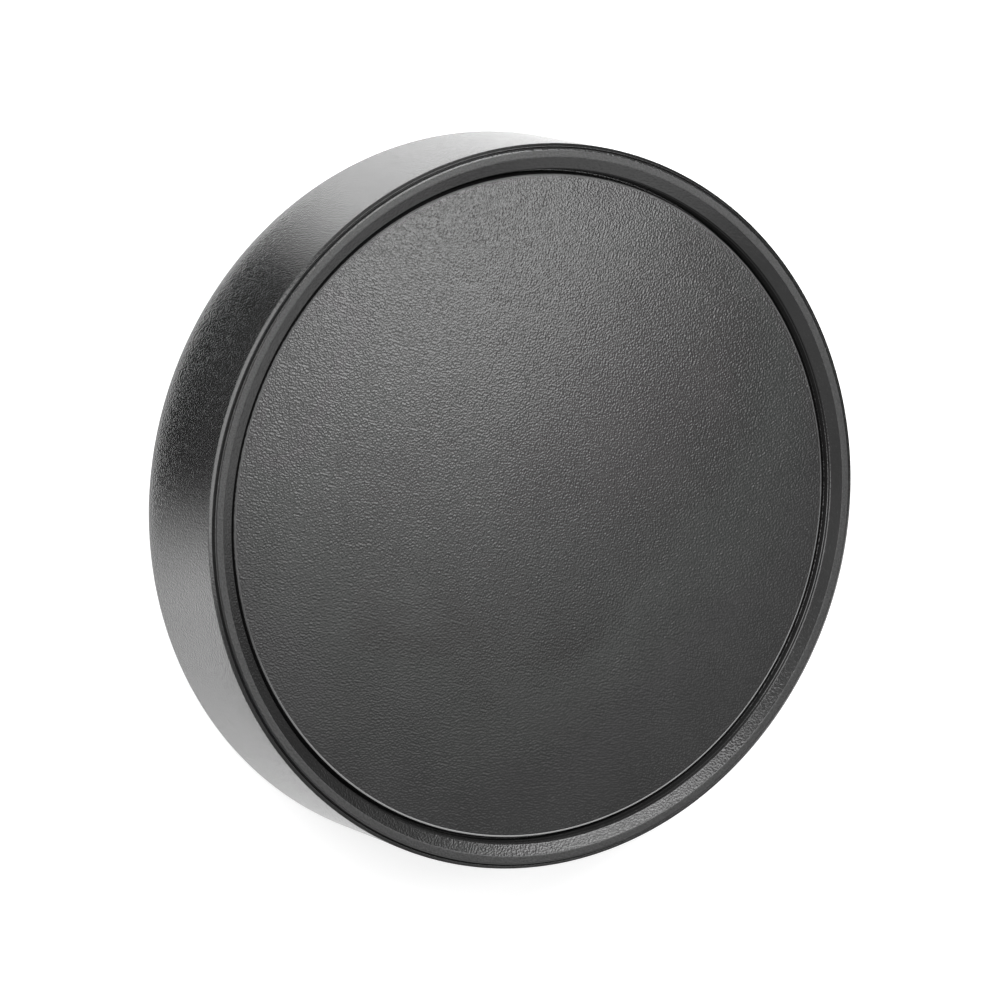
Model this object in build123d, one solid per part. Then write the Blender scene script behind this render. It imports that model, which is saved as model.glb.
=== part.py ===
from build123d import *
import os

# Slip-on lens cap: a turned aluminium shell with a felt strip bonded inside its skirt.
# The cap lies on its mouth with its face up. The origin is the centre of the mouth, and +Z runs
# along the axis towards the face. All sizes are in millimetres.

# The lens and the lining that grips it
lens_ring_diameter = 54.0   # outside of the lens front ring, which the cap slips over
lining_thickness = 0.75     # felt strip, free and not squeezed
bond_line = 0.05            # adhesive between the strip and its seat
butt_gap = 0.4              # open joint where the two ends of the strip meet
lining_lip_gap = 0.15       # from the mouth lip to the strip
lining_ceiling_gap = 0.35   # from the strip to the ceiling, clear of the corner there
lining_break = 0.2          # soft inner edges of the strip

# Skirt
cap_height = 11.3           # mouth to front land
skirt_wall = 1.2            # metal behind the lining
lip_height = 1.0            # bare lip below the lining, at the mouth
lip_clearance = 0.45        # between the lens ring and the lip, all round
lead_in = 0.3               # chamfer inside the mouth
mouth_radius = 0.2          # rounded outer edge of the mouth
corner_slope = 0.3          # sloped corner between the skirt and the ceiling

# Front rim, from the skirt inwards
shoulder_width = 0.4        # from the skirt in to the foot of the step
shoulder_radius = 0.36      # rounded outer edge
shoulder_flat = 0.04        # least flat left between the rounded edge and the step
step_rise = 0.26            # small upright step between the shoulder and the land
land_width = 0.64           # flat front land
dish_width = 0.96           # bevel that dishes in from the land
dish_drop = 0.42
groove_width = 0.45         # groove between the rim and the disc, at the disc's edge
groove_floor_width = 0.09   # its narrow floor, as both sides slope in
groove_depth = 0.95         # below the disc
disc_drop = 0.92            # disc below the land
plate_thickness = 1.5       # disc to ceiling

# Edge breaks of the turned shell
edge_break = 0.08           # fine chamfer on each outer edge
land_break = 0.12           # inner edge of the land, where the dish starts
disc_break = 0.12           # outer edge of the disc

# Radii that follow from the lens outwards
lining_inner_radius = lens_ring_diameter / 2
lining_outer_radius = lining_inner_radius + lining_thickness
seat_radius = lining_outer_radius + bond_line
cap_radius = seat_radius + skirt_wall
lip_radius = lining_inner_radius + lip_clearance

# Radii that follow from the skirt inwards across the face
land_outer_radius = cap_radius - shoulder_width
shoulder_rounding = min(shoulder_radius, shoulder_width - shoulder_flat)
land_inner_radius = land_outer_radius - land_width
groove_outer_radius = land_inner_radius - dish_width
disc_radius = groove_outer_radius - groove_width

# Heights above the mouth
step_foot = cap_height - step_rise
dish_foot = cap_height - dish_drop
disc_height = cap_height - disc_drop
groove_floor = disc_height - groove_depth
groove_slope = (groove_width - groove_floor_width) / 2
ceiling_height = disc_height - plate_thickness
lining_foot = lip_height + lining_lip_gap
lining_top = ceiling_height - lining_ceiling_gap


def corners_of(section, places):
    # The vertices of a flat section that lie at the given (radius, height) places.
    return [section.vertices().sort_by_distance((*place, 0))[0] for place in places]


def turned(section):
    # Turns a half section, drawn as (radius, height), about Z.
    return revolve(Plane.XZ * section, Axis.Z)


def cap_body():
    # One turned shell: skirt, stepped front rim, narrow groove, recessed disc and open mouth.
    mouth_edge = (cap_radius, 0)
    shoulder_edge = (cap_radius, step_foot)
    step_corner = (land_outer_radius, step_foot)
    land_outer_edge = (land_outer_radius, cap_height)
    land_inner_edge = (land_inner_radius, cap_height)
    dish_edge = (groove_outer_radius, dish_foot)
    groove_outer_corner = (groove_outer_radius - groove_slope, groove_floor)
    groove_inner_corner = (disc_radius + groove_slope, groove_floor)
    disc_edge = (disc_radius, disc_height)
    disc_centre = (0, disc_height)
    ceiling_centre = (0, ceiling_height)
    ceiling_corner = (seat_radius, ceiling_height)
    lip_shoulder = (seat_radius, lip_height)
    lip_edge = (lip_radius, lip_height)
    lead_in_edge = (lip_radius, lead_in)
    lead_in_foot = (lip_radius + lead_in, 0)
    outline = Polyline(
        mouth_edge, shoulder_edge, step_corner, land_outer_edge, land_inner_edge, dish_edge,
        groove_outer_corner, groove_inner_corner, disc_edge, disc_centre,
        ceiling_centre, ceiling_corner, lip_shoulder, lip_edge, lead_in_edge, lead_in_foot,
        close=True,
    )
    section = make_face(outline)
    section = chamfer(corners_of(section, [land_outer_edge, dish_edge, lip_edge]), edge_break)
    section = chamfer(corners_of(section, [land_inner_edge]), land_break)
    section = chamfer(corners_of(section, [disc_edge]), disc_break)
    section = fillet(corners_of(section, [shoulder_edge]), shoulder_rounding)
    section = fillet(corners_of(section, [mouth_edge]), mouth_radius)
    section = chamfer(corners_of(section, [ceiling_corner]), corner_slope)
    return turned(section)


def felt_lining():
    # A flat strip bent into a ring inside its seat, with an open butt joint on the +X side.
    foot_edge = (lining_inner_radius, lining_foot)
    top_edge = (lining_inner_radius, lining_top)
    outline = Polyline(
        foot_edge, (lining_outer_radius, lining_foot), (lining_outer_radius, lining_top), top_edge,
        close=True,
    )
    section = make_face(outline)
    section = chamfer(corners_of(section, [foot_edge, top_edge]), lining_break)
    joint = Box(cap_radius, butt_gap, cap_height, align=(Align.MIN, Align.CENTER, Align.MIN))
    return turned(section) - joint


nodes = {
    "cap_body": cap_body(),
    "felt_lining": felt_lining(),
}

os.makedirs("parts", exist_ok=True)
for name, solid in nodes.items():
    export_step(solid, f"parts/{name}.step")
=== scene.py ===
import math

import bpy
from mathutils import Matrix, Vector, noise


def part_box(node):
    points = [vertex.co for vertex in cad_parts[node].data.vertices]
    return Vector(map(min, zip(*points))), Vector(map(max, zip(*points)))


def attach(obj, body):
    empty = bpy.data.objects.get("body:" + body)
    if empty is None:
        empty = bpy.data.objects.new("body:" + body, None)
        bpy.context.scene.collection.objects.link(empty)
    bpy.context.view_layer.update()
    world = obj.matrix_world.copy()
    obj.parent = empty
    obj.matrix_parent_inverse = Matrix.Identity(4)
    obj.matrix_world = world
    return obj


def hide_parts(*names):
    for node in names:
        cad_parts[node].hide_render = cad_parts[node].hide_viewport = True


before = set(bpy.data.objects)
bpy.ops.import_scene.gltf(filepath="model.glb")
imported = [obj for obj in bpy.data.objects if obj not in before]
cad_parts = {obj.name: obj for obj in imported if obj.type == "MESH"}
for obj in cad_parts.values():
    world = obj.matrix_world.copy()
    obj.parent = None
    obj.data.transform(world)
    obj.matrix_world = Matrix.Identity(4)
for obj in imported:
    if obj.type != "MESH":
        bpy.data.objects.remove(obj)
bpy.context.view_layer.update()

mm = 0.001               # scene units are metres, sizes below are millimetres

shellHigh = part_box("cap_body")[1]
feltLow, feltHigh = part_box("felt_lining")
capRadius = shellHigh.x / mm
capHeight = shellHigh.z / mm
feltOuter = feltHigh.y / mm
print("frame loaded: cap", round(2 * capRadius, 2), "mm across,", round(capHeight, 2), "mm high")


# Small mesh helpers

def aroundAxis(radius, height, angle):
    # the point in metres at a radius and a height given in mm
    return radius * mm * math.cos(angle), radius * mm * math.sin(angle), height * mm


def makePiece(name, vertices, faces, finishes, faceFinish=None):
    mesh = bpy.data.meshes.new(name)
    mesh.from_pydata(vertices, [], faces)
    for finish in finishes:
        mesh.materials.append(finish)
    if faceFinish:
        mesh.polygons.foreach_set("material_index", faceFinish)
    mesh.polygons.foreach_set("use_smooth", [True] * len(mesh.polygons))
    mesh.update()
    piece = bpy.data.objects.new(name, mesh)
    bpy.context.scene.collection.objects.link(piece)
    return piece


def roundCorner(before, corner, after, radius, steps, hold):
    # an arc in place of the corner, with a holding point past each end so that the flats shade flat
    toBefore, toAfter = before - corner, after - corner
    half = toBefore.angle(toAfter) / 2
    reach = radius / math.tan(half)
    centre = corner + (toBefore.normalized() + toAfter.normalized()).normalized() * radius / math.sin(half)
    start, end = corner + toBefore.normalized() * reach, corner + toAfter.normalized() * reach
    swing = (start - centre).angle_signed(end - centre)
    points = [start + toBefore.normalized() * hold] if hold else []
    for step in range(steps + 1):
        turn = Matrix.Rotation(-swing * step / steps, 2)
        points.append(centre + turn @ (start - centre))
    points += [end + toAfter.normalized() * hold] if hold else []
    return points


def turnedMesh(section, bandFinish, turns):
    # turns an open section about Z; its first and last points lie on the axis
    vertices, faces, finishOf = [], [], []
    rings = section[1:-1]
    for radius, height in rings:
        vertices += [aroundAxis(radius, height, math.tau * turn / turns) for turn in range(turns)]
    for band in range(len(rings) - 1):
        for turn in range(turns):
            after = (turn + 1) % turns
            low, high = band * turns, (band + 1) * turns
            faces.append((low + turn, high + turn, high + after, low + after))
            finishOf.append(bandFinish[band + 1])
    for pole, ring, order in ((0, 0, 1), (-1, len(rings) - 1, -1)):
        tip = len(vertices)
        vertices.append((0, 0, section[pole][1] * mm))
        for turn in range(turns):
            edge = (ring * turns + turn, ring * turns + (turn + 1) % turns)
            faces.append((tip, *edge[::order]))
            finishOf.append(bandFinish[pole])
    return vertices, faces, finishOf


# Small node helpers: each takes sockets and gives back the new node's output

def newFinish(name):
    finish = bpy.data.materials.new(name)
    finish.use_nodes = True
    nodes, links = finish.node_tree.nodes, finish.node_tree.links
    return finish, nodes, links, nodes["Principled BSDF"]


def matteFinish(name, grey):
    finish, nodes, links, shader = newFinish(name)
    shader.inputs["Base Color"].default_value = (grey, grey, grey, 1)
    shader.inputs["Roughness"].default_value = 1
    shader.inputs["Specular IOR Level"].default_value = 0
    return finish, nodes, links, shader


def objectPlace(nodes):
    return nodes.new("ShaderNodeTexCoord").outputs["Object"]


def cloudy(nodes, links, place, width, detail, dimensions="3D", distortion=0):
    # noise whose patches have the width given in mm
    node = nodes.new("ShaderNodeTexNoise")
    node.noise_dimensions = dimensions
    node.inputs["Scale"].default_value = 1 / (width * mm)
    node.inputs["Detail"].default_value = detail
    node.inputs["Distortion"].default_value = distortion
    links.new(place, node.inputs["W" if dimensions == "1D" else "Vector"])
    return node.outputs["Fac"]


def greyRamp(nodes, links, value, span, grey):
    # runs from the first grey to the second as the value crosses the span
    node = nodes.new("ShaderNodeValToRGB")
    for element, place, tone in zip(node.color_ramp.elements, span, grey):
        element.position = place
        element.color = (tone, tone, tone, 1)
    links.new(value, node.inputs["Fac"])
    return node.outputs["Color"]


def mapped(nodes, links, value, span, target, interpolation="LINEAR"):
    # runs from the first target number to the second as the value crosses the span
    node = nodes.new("ShaderNodeMapRange")
    node.interpolation_type = interpolation
    for name, number in zip(("From Min", "From Max", "To Min", "To Max"), (*span, *target)):
        node.inputs[name].default_value = number
    links.new(value, node.inputs["Value"])
    return node.outputs["Result"]


def bumped(nodes, links, height, depth, under=None):
    # relief of the depth given in mm, on top of the relief under it
    node = nodes.new("ShaderNodeBump")
    node.inputs["Distance"].default_value = depth * mm
    links.new(height, node.inputs["Height"])
    if under is not None:
        links.new(under, node.inputs["Normal"])
    return node.outputs["Normal"]


def computed(nodes, links, operation, *values):
    # each value is a number or a socket
    node = nodes.new("ShaderNodeMath")
    node.operation = operation
    for socket, value in zip(node.inputs, values):
        if isinstance(value, bpy.types.NodeSocket):
            links.new(value, socket)
        else:
            socket.default_value = value
    return node.outputs["Value"]


def vectorNode(nodes, links, operation, vector, constant=(0, 0, 0)):
    node = nodes.new("ShaderNodeVectorMath")
    node.operation = operation
    node.inputs[1].default_value = constant
    links.new(vector, node.inputs[0])
    return node


def mixedInto(nodes, links, share, first, second, output):
    # the output shows the first shader where the share is 0 and the second where it is 1
    node = nodes.new("ShaderNodeMixShader")
    links.new(share, node.inputs["Fac"])
    links.new(first, node.inputs[1])
    links.new(second, node.inputs[2])
    links.new(node.outputs["Shader"], output.inputs["Surface"])


# Finishes

anodised = {
    "grey": (0.014, 0.018),        # darkest and lightest dye
    "cloud": 6,                    # width of the uneven patches in the dye, mm
    "landGrey": (0.008, 0.046),    # the land is a little worn, in specks
    "landCloud": 0.13,             # width of one speck, mm
    "cloudDetail": 4,
    "blastedRoughness": (0.17, 0.21),
    "skirtRoughness": (0.22, 0.27),
    "landRoughness": (0.38, 0.46),
    "turnedRoughness": (0.26, 0.34),
    "index": 1.65,
    "fineGrain": 0.06,             # width of the finest grain, mm
    "fineDetail": 2,
    "fineDepth": 0.0012,           # mm
    "fineSpan": (0.3, 0.7),        # noise values between which the roughness changes
    "pebble": 0.155,               # width of one blasted pit, mm
    "pebbleDetail": 0.5,
    "pebbleDepth": 0.024,          # mm
    "skirtDepth": 0.062,           # the skirt is blasted harder
    "specular": (0.46, 0.54),      # from the bottom of a pit to its rim
    "turningPitch": 0.16,          # tool marks inside the cap, mm
    "turningDetail": 3,
    "turningDepth": 0.004,
    "turnedSpecular": (0.34, 0.66),    # from the bottom of a tool mark to its crest
    "span": (0.35, 0.65),          # noise values between which the dye and the specular level change
}


def turningMarks(nodes, links, place):
    # rings round the axis, from noise over the radius alone
    flat = vectorNode(nodes, links, "MULTIPLY", place, (1, 1, 0)).outputs["Vector"]
    radius = vectorNode(nodes, links, "LENGTH", flat).outputs["Value"]
    return cloudy(nodes, links, radius, anodised["turningPitch"], anodised["turningDetail"], "1D")


def anodisedFinish(name, grey, cloudSize, roughness, pitDepth):
    # with a pit depth in mm the finish is blasted; with 0 it is turned
    finish, nodes, links, shader = newFinish(name)
    place = objectPlace(nodes)
    cloud = cloudy(nodes, links, place, cloudSize, anodised["cloudDetail"])
    dye = greyRamp(nodes, links, cloud, anodised["span"], grey)
    links.new(dye, shader.inputs["Base Color"])
    fine = cloudy(nodes, links, place, anodised["fineGrain"], anodised["fineDetail"])
    satin = mapped(nodes, links, fine, anodised["fineSpan"], roughness)
    links.new(satin, shader.inputs["Roughness"])
    shader.inputs["IOR"].default_value = anodised["index"]
    if pitDepth:
        relief = cloudy(nodes, links, place, anodised["pebble"], anodised["pebbleDetail"])
        depth, specular = pitDepth, anodised["specular"]
    else:
        relief = turningMarks(nodes, links, place)
        depth, specular = anodised["turningDepth"], anodised["turnedSpecular"]
    shine = mapped(nodes, links, relief, anodised["span"], specular)
    links.new(shine, shader.inputs["Specular IOR Level"])
    fineNormal = bumped(nodes, links, fine, anodised["fineDepth"])
    normal = bumped(nodes, links, relief, depth, fineNormal)
    links.new(normal, shader.inputs["Normal"])
    return finish


edgeHighlightAndWear = {
    "grey": (0.05, 0.36),          # painted highlight: the grey rises along one side of the disc's edge, where light is caught
    "side": -60,                   # which side the painted highlight lies on, degrees
    "reach": (2.6, 26.4),          # mm towards that side, where the painted highlight starts and where it is brightest
    "patch": 0.9,                  # width of the patches in it, mm
    "patchDetail": 5,
    "mottle": 0.06,                # grey that the patches add
    "depth": 0.002,                # mm
    "roughness": 0.45,
    "specular": 0.25,
}


def highlightAndWearFinish():
    finish, nodes, links, shader = newFinish("rubbed black anodising")
    place = objectPlace(nodes)
    wear = cloudy(nodes, links, place, edgeHighlightAndWear["patch"], edgeHighlightAndWear["patchDetail"])
    side = math.radians(edgeHighlightAndWear["side"])
    towards = (math.cos(side), math.sin(side), 0)
    along = vectorNode(nodes, links, "DOT_PRODUCT", place, towards).outputs["Value"]
    # painted highlight: the grey grows towards one side of the disc's edge, standing in for light caught
    # there; the patches add random mottling on top
    glintGrey = mapped(nodes, links, along, [reach * mm for reach in edgeHighlightAndWear["reach"]], edgeHighlightAndWear["grey"])
    shade = computed(nodes, links, "MULTIPLY_ADD", wear, edgeHighlightAndWear["mottle"], glintGrey)
    links.new(shade, shader.inputs["Base Color"])
    shader.inputs["Roughness"].default_value = edgeHighlightAndWear["roughness"]
    shader.inputs["Specular IOR Level"].default_value = edgeHighlightAndWear["specular"]
    normal = bumped(nodes, links, wear, edgeHighlightAndWear["depth"])
    links.new(normal, shader.inputs["Normal"])
    return finish


felt = {
    "grey": (0.008, 0.13),         # fibres from deep to catching light
    "greySpan": (0.3, 0.7),        # noise values between which the grey changes
    "fibre": 0.22,                 # width of one tuft, mm
    "fibreDetail": 5,
    "fibreCurl": 1.5,
    "fibreDepth": 0.03,            # mm
    "roughness": 0.95,
    "sheen": 0.5,
    "sheenRoughness": 0.6,
    "bond": 0.05,                  # glue line behind the strip, mm
    "thickness": 0.75,
    "buttGap": 0.4,
    "edgeRound": 0.22,
    "edgeSteps": 4,
    "edgeHold": 0.02,              # holding point beside each rounded edge, mm
    "cell": 0.26,                  # mesh size of the matted surface, mm
    "matting": 0.05,               # how far the surface wanders, mm
    "lump": 0.5,                   # width of its lumps, mm
    "lumpNoise": (0.9, 2.0, 4),    # fall-off, spacing and number of its octaves
    "loosening": 3,                # the glued back lies still, and all moves from a third of the way in
}


def feltFinish():
    finish, nodes, links, shader = newFinish("black felt")
    place = objectPlace(nodes)
    fibres = cloudy(nodes, links, place, felt["fibre"], felt["fibreDetail"], "3D", felt["fibreCurl"])
    shade = greyRamp(nodes, links, fibres, felt["greySpan"], felt["grey"])
    links.new(shade, shader.inputs["Base Color"])
    normal = bumped(nodes, links, fibres, felt["fibreDepth"])
    links.new(normal, shader.inputs["Normal"])
    shader.inputs["Roughness"].default_value = felt["roughness"]
    shader.inputs["Sheen Weight"].default_value = felt["sheen"]
    shader.inputs["Sheen Roughness"].default_value = felt["sheenRoughness"]
    return finish


dye, patch = anodised["grey"], anodised["cloud"]
blastedBlack = anodisedFinish("blasted black anodising", dye, patch, anodised["blastedRoughness"],
                              anodised["pebbleDepth"])
turnedBlack = anodisedFinish("turned black anodising", dye, patch, anodised["turnedRoughness"], 0)
landBlack = anodisedFinish("worn black anodising", anodised["landGrey"], anodised["landCloud"],
                           anodised["landRoughness"], anodised["pebbleDepth"])
highlightAndWearBlack = highlightAndWearFinish()
skirtBlack = anodisedFinish("blasted black anodising, skirt", dye, patch, anodised["skirtRoughness"],
                            anodised["skirtDepth"])
shellFinishes = [blastedBlack, landBlack, turnedBlack, highlightAndWearBlack, skirtBlack]
feltBlack = feltFinish()
print("finishes made")


# The turned shell

shell = {
    "turns": 400,                  # facets round the axis
    "arcSteps": 5,
    "hold": 0.03,                  # holding point beside each rounded edge, mm
    "mouthRound": 0.2,
    "lipRound": 0.09,
    "shoulderDrop": 0.20,          # height of the bevel round the outer edge
    "shoulderRounds": (0.05, 0.12),    # its upper and lower edge
    "stepRelief": (0.16, 0.20),    # width and depth of the hairline groove at the foot of the step
    "landEase": (0.11, 0.04),      # width and height of the shallow chamfer round the land
    "landEaseRound": 0.03,
    "landInnerRound": 0.2,
    "dishFootRound": 0.14,
    "discEase": (0.12, 0.08),      # width and height of the chamfer round the disc
    "discRound": 0.03,
    "innerRound": 0.02,            # inside corners
    "shoulderWidth": 0.4,
    "stepRise": 0.26,
    "landWidth": 0.64,
    "dishWidth": 0.96,
    "dishDrop": 0.42,
    "grooveWidth": 0.45,
    "grooveFloor": 0.05,           # width at the bottom
    "grooveDepth": 0.95,           # below the disc
    "wallLedges": (0.79, 0.28),    # two fine ledges in the groove's outer side, below the foot of the dish
    "ledgeInsets": (0.05, 0.02),   # how far in that side has leant at each ledge
    "ledge": (0.045, 0.045),       # width and rise of each
    "discDrop": 0.92,
    "plate": 1.5,
    "ceilingRound": 0.3,
    "lipHeight": 1.0,
    "lipClearance": 0.45,
    "leadIn": 0.3,
    "flatStops": (22, 15, 8, 3),   # extra rings across the disc and ceiling, mm
}


def shellSection():
    # (radius, height, round, finish of the band that starts there), from the disc's centre outwards
    blasted, worn, turned, paintedHighlightBand, skirt = range(len(shellFinishes))
    s = shell
    inner = s["innerRound"]
    landOuter = capRadius - s["shoulderWidth"]
    landInner = landOuter - s["landWidth"]
    grooveOuter = landInner - s["dishWidth"]
    discEdge = grooveOuter - s["grooveWidth"]
    disc = capHeight - s["discDrop"]
    groove = disc - s["grooveDepth"]
    grooveSlope = (s["grooveWidth"] - s["grooveFloor"]) / 2
    dishFoot = capHeight - s["dishDrop"]
    lowLedge, highLedge = (dishFoot - depth for depth in s["wallLedges"])
    lowInset, highInset = s["ledgeInsets"]
    ledge, ledgeRise = s["ledge"]
    stepFoot = capHeight - s["stepRise"]
    ceiling = disc - s["plate"]
    seat = feltOuter + felt["bond"]
    lip = feltOuter - felt["thickness"] + s["lipClearance"]
    corners = [(0, disc, 0, blasted)]
    corners += [(stop, disc, 0, blasted) for stop in reversed(s["flatStops"])]
    corners += [
        # the disc's chamfer carries the painted edge highlight
        (discEdge - s["discEase"][0], disc, s["discRound"], paintedHighlightBand),
        (discEdge, disc - s["discEase"][1], s["discRound"], blasted),
        (discEdge + grooveSlope, groove, inner, blasted),
        (grooveOuter - grooveSlope, groove, inner, blasted),
        (grooveOuter - 2 * ledge - lowInset, lowLedge, inner, blasted),
        (grooveOuter - ledge - lowInset, lowLedge + ledgeRise, inner, blasted),
        (grooveOuter - ledge - highInset, highLedge, inner, blasted),
        (grooveOuter - highInset, highLedge + ledgeRise, inner, blasted),
        (grooveOuter, dishFoot, s["dishFootRound"], blasted),
        (landInner, capHeight, s["landInnerRound"], worn),
        (landOuter - s["landEase"][0], capHeight, s["landEaseRound"], blasted),
        (landOuter, capHeight - s["landEase"][1], s["landEaseRound"], blasted),
        (landOuter, stepFoot - s["stepRelief"][1], inner, blasted),
        (landOuter + s["stepRelief"][0], stepFoot, s["shoulderRounds"][0], blasted),
        (capRadius, stepFoot - s["shoulderDrop"], s["shoulderRounds"][1], skirt),
        (capRadius, 0, s["mouthRound"], turned),
        (lip + s["leadIn"], 0, inner, turned),
        (lip, s["leadIn"], inner, turned),
        (lip, s["lipHeight"], s["lipRound"], turned),
        (seat, s["lipHeight"], inner, turned),
        (seat, ceiling, s["ceilingRound"], turned),
    ]
    corners += [(stop, ceiling, 0, turned) for stop in s["flatStops"]]
    corners.append((0, ceiling, 0, turned))

    section, bandFinish = [], []
    for index, (radius, height, rounding, finish) in enumerate(corners):
        here = Vector((radius, height))
        points = [here]
        if rounding:
            before, after = (Vector(corners[index + side][:2]) for side in (-1, 1))
            hold = s["hold"] if rounding > inner else 0
            points = roundCorner(before, here, after, rounding, s["arcSteps"], hold)
        section += [tuple(point) for point in points]
        bandFinish += [finish] * len(points)
    return section, bandFinish


def makeShell():
    section, bandFinish = shellSection()
    vertices, faces, finishOf = turnedMesh(section, bandFinish, shell["turns"])
    piece = makePiece("turned_shell", vertices, faces, shellFinishes, finishOf)
    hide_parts("cap_body")
    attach(piece, "root")
    print("shell turned:", len(faces), "faces")


# The felt strip

def feltOutline():
    # closed outline of the strip's cross-section as (radius, height), with soft inner edges
    outer, inner = feltOuter, feltOuter - felt["thickness"]
    low, high = feltLow.z / mm, feltHigh.z / mm
    softness = felt["edgeRound"]
    corners = [(outer, low, 0), (outer, high, 0), (inner, high, softness), (inner, low, softness)]
    loose = []
    for index, (radius, height, rounding) in enumerate(corners):
        here = Vector((radius, height))
        points = [here]
        if rounding:
            before, after = (Vector(corners[(index + side) % len(corners)][:2]) for side in (-1, 1))
            points = roundCorner(before, here, after, rounding, felt["edgeSteps"], felt["edgeHold"])
        loose += points
    outline = []
    for start, end in zip(loose, loose[1:] + loose[:1]):
        pieces = max(1, round((end - start).length / felt["cell"]))
        outline += [start.lerp(end, part / pieces) for part in range(pieces)]
    return outline


def makeFelt():
    outline = feltOutline()
    halfGap = math.asin(felt["buttGap"] / 2 / (feltOuter - felt["thickness"] / 2))
    length = feltOuter * (math.tau - 2 * halfGap)
    stations = round(length / felt["cell"])
    vertices, faces = [], []
    for station in range(stations + 1):
        along = station / stations
        angle = halfGap + along * (math.tau - 2 * halfGap)
        for point in outline:
            inward = max(0.0, (feltOuter - point.x) / felt["thickness"])
            spot = Vector((point.x * math.cos(angle), point.x * math.sin(angle), point.y))
            lumps = noise.fractal(spot / felt["lump"], *felt["lumpNoise"])
            wander = lumps * felt["matting"] * min(1.0, felt["loosening"] * inward)
            vertices.append(aroundAxis(point.x - wander, point.y, angle))
    count = len(outline)
    for station in range(stations):
        for index in range(count):
            after = (index + 1) % count
            low, high = station * count, (station + 1) * count
            faces.append((low + index, low + after, high + after, high + index))
    faces.append(tuple(range(count - 1, -1, -1)))
    faces.append(tuple(stations * count + index for index in range(count)))
    piece = makePiece("felt_strip", vertices, faces, [feltBlack])
    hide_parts("felt_lining")
    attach(piece, "root")
    print("felt laid:", len(faces), "faces")


makeShell()
makeFelt()


# Floor, light and camera

stage = {
    "floorSize": 4.0,              # m
    "floorDrop": 0.02,             # mm below the mouth, so that the two faces don't coincide
    "floorGrey": 0.8,
    "floorLift": 0.5,              # white added to the floor that the camera sees
    "mirroredLift": 0.84,          # and, as a painted pool of light that only reflections see, to the floor under the cap, which its black finish mirrors
    "litRadius": (36, 44),         # mm, where that light starts to fade, and where it ends
    "skyLevel": 0.27,
    "cardGrey": 0.01,
    "cardSteps": 60,               # facets along each black card
}

# Where each softbox stands, its distance and size in mm, and its level (1 is white)
softboxes = [
    {"name": "key", "azimuth": 30, "elevation": 67, "distance": 150, "size": (34, 34), "level": 5.2},
    {"name": "keyWide", "azimuth": 12, "elevation": 69, "distance": 150, "size": (66, 66), "level": 1.05},
    {"name": "backKey", "azimuth": 71, "elevation": 46, "distance": 200, "size": (80, 80), "level": 5.1},
    {"name": "backHigh", "azimuth": 98, "elevation": 58, "distance": 200, "size": (90, 80), "level": 4.35},
    {"name": "leftPanel", "azimuth": 180, "elevation": 32, "distance": 250, "size": (300, 270), "level": 2.8},
    {"name": "rightPanel", "azimuth": 348, "elevation": 17, "distance": 300, "size": (220, 90),
     "level": 0.62},
    {"name": "frontPanel", "azimuth": 306, "elevation": 37, "distance": 250, "size": (170, 120),
     "level": 0.62},
    {"name": "backStrip", "azimuth": 97, "elevation": 3, "distance": 300, "size": (60, 60), "level": 4},
    {"name": "fill", "azimuth": 120, "elevation": 50, "distance": 300, "size": (300, 200), "level": 2.4,
     "mirrored": False},
]

# Black cards seen only in reflections paint dark reflections into the cap's finish; the one lying on the
# floor close beside it at the left stands in for the shade there.
# Curved cards round the cap: (radius, height) of two edges in mm, the azimuths of the ends, and the
# degrees over which each end thins out
blackCards = [
    {"name": "leftCard", "edges": ((29.4, 0.05), (46, 0.05)), "azimuths": (132, 213), "fade": 24},
    {"name": "rightCard", "edges": ((44, 0.1), (44, 31)), "azimuths": (5, 108), "fade": 12},
    {"name": "rightFlag", "edges": ((150, 0.1), (150, 125)), "azimuths": (8, 48), "fade": 8},
    {"name": "frontCard", "edges": ((37, 0.05), (110, 0.05)), "azimuths": (215, 345), "fade": 15},
]


def hideFromLight(card):
    # a stage piece that shows only in reflections
    card.visible_camera = False
    card.visible_diffuse = False
    card.visible_shadow = False


def makeBlackCard(name, edges, azimuths, fade):
    vertices, faces, cover = [], [], []
    steps = stage["cardSteps"]
    for step in range(steps + 1):
        azimuth = azimuths[0] + (azimuths[1] - azimuths[0]) * step / steps
        inside = min(1, (azimuth - azimuths[0]) / fade, (azimuths[1] - azimuth) / fade)
        for radius, height in edges:
            vertices.append(aroundAxis(radius, height, math.radians(azimuth)))
            cover.append(inside * inside * (3 - 2 * inside))    # eased at both ends
    for step in range(steps):
        start = 2 * step
        faces.append((start, start + 1, start + 3, start + 2))
    finish, nodes, links, shader = matteFinish(name, stage["cardGrey"])
    thickness = nodes.new("ShaderNodeAttribute")
    thickness.attribute_name = "cover"
    clear = nodes.new("ShaderNodeBsdfTransparent")
    mixedInto(nodes, links, thickness.outputs["Fac"], clear.outputs["BSDF"], shader.outputs["BSDF"],
              nodes["Material Output"])
    card = makePiece(name, vertices, faces, [finish])
    card.data.attributes.new("cover", "FLOAT", "POINT").data.foreach_set("value", cover)
    hideFromLight(card)


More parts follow.
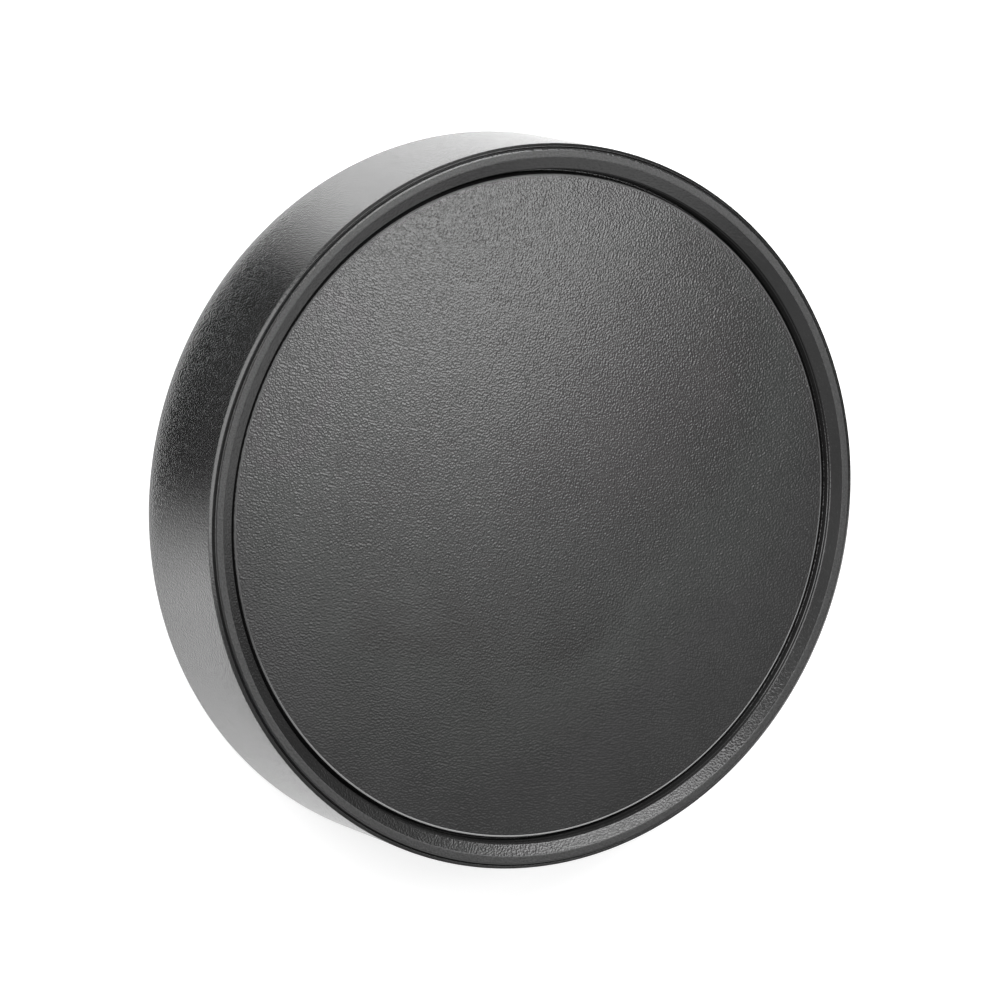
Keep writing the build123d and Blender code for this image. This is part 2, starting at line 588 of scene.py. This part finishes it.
def makeFloor():
    half = stage["floorSize"] / 2
    level = -stage["floorDrop"] * mm
    vertices = [(-half, -half, level), (half, -half, level), (half, half, level), (-half, half, level)]
    finish, nodes, links, shader = matteFinish("pale floor", stage["floorGrey"])
    away = vectorNode(nodes, links, "LENGTH", objectPlace(nodes)).outputs["Value"]
    lit = [radius * mm for radius in stage["litRadius"]]
    # painted pool of light: the floor round the cap glows for reflected rays, fading out between the two
    # radii
    spot = mapped(nodes, links, away, lit, (stage["mirroredLift"], 0), "SMOOTHSTEP")
    ray = nodes.new("ShaderNodeLightPath").outputs
    bounced = computed(nodes, links, "MAXIMUM", ray["Is Glossy Ray"], ray["Is Transmission Ray"])
    mirrored = computed(nodes, links, "MULTIPLY", bounced, spot)
    lift = computed(nodes, links, "MULTIPLY_ADD", ray["Is Camera Ray"], stage["floorLift"], mirrored)
    shader.inputs["Emission Color"].default_value = (1, 1, 1, 1)
    links.new(lift, shader.inputs["Emission Strength"])
    # seen from below, the floor is clear, so that the inside of the cap can be looked at
    below = nodes.new("ShaderNodeNewGeometry")
    clear = nodes.new("ShaderNodeBsdfTransparent")
    mixedInto(nodes, links, below.outputs["Backfacing"], shader.outputs["BSDF"], clear.outputs["BSDF"],
              nodes["Material Output"])
    floor = makePiece("floor", vertices, [(0, 1, 2, 3)], [finish])


def makeSky():
    # plain grey light all round, and white where the camera looks past the floor
    world = bpy.data.worlds.new("studio")
    world.use_nodes = True
    nodes, links = world.node_tree.nodes, world.node_tree.links
    nodes.clear()
    ray = nodes.new("ShaderNodeLightPath")
    plain, white = nodes.new("ShaderNodeBackground"), nodes.new("ShaderNodeBackground")
    plain.inputs["Strength"].default_value = stage["skyLevel"]
    plain.inputs["Color"].default_value = (1, 1, 1, 1)
    white.inputs["Color"].default_value = (1, 1, 1, 1)
    mixedInto(nodes, links, ray.outputs["Is Camera Ray"], plain.outputs["Background"],
              white.outputs["Background"], nodes.new("ShaderNodeOutputWorld"))
    bpy.context.scene.world = world


def makeSoftbox(name, azimuth, elevation, distance, size, level, mirrored=True):
    turn, rise = math.radians(azimuth), math.radians(elevation)
    toLight = Vector((math.cos(turn) * math.cos(rise), math.sin(turn) * math.cos(rise), math.sin(rise)))
    lamp = bpy.data.lights.new(name, "AREA")
    lamp.shape = "RECTANGLE"
    lamp.size, lamp.size_y = size[0] * mm, size[1] * mm
    lamp.energy = level * math.pi * lamp.size * lamp.size_y
    box = bpy.data.objects.new(name, lamp)
    across = Vector((-math.sin(turn), math.cos(turn), 0))
    axes = Matrix((across, toLight.cross(across), toLight)).transposed().to_4x4()
    box.matrix_world = Matrix.Translation(toLight * distance * mm) @ axes
    box.visible_camera = False
    box.visible_glossy = mirrored
    bpy.context.scene.collection.objects.link(box)


camera = {
    "axisTilt": 29.70,             # degrees between the line of sight and the cap's axis
    "roll": 16.09,                 # degrees
    "distance": 17.84,             # from the cap's mouth, in cap radii
    "aside": (0.0752, 0.0299),     # right and down, in cap radii
    "pixelsPerRadius": 359.63,
    "pictureSide": 1001,           # pixels
    "sensor": 36.0,                # mm
    "clip": (0.01, 10),            # m
}


def makeCamera():
    tilt, roll = math.radians(camera["axisTilt"]), math.radians(camera["roll"])
    forward = Vector((math.sin(tilt), 0, -math.cos(tilt)))
    right = Vector((math.cos(tilt) * math.cos(roll), math.sin(roll), math.sin(tilt) * math.cos(roll)))
    up = right.cross(forward)
    radius = capRadius * mm
    lens = bpy.data.cameras.new("camera")
    lens.sensor_width = camera["sensor"]
    focalPixels = camera["pixelsPerRadius"] * camera["distance"]
    lens.lens = focalPixels / camera["pictureSide"] * camera["sensor"]
    lens.clip_start, lens.clip_end = camera["clip"]
    eye = bpy.data.objects.new("camera", lens)
    asideRight, asideDown = camera["aside"]
    place = radius * (right * asideRight - up * asideDown - forward * camera["distance"])
    axes = Matrix((right, up, -forward)).transposed().to_4x4()
    eye.matrix_world = Matrix.Translation(place) @ axes
    bpy.context.scene.collection.objects.link(eye)
    bpy.context.scene.camera = eye


makeFloor()
makeSky()
for card in blackCards:
    makeBlackCard(**card)
for softbox in softboxes:
    makeSoftbox(**softbox)
makeCamera()
bpy.context.scene.view_settings.view_transform = "Standard"
print("floor, light and camera set")
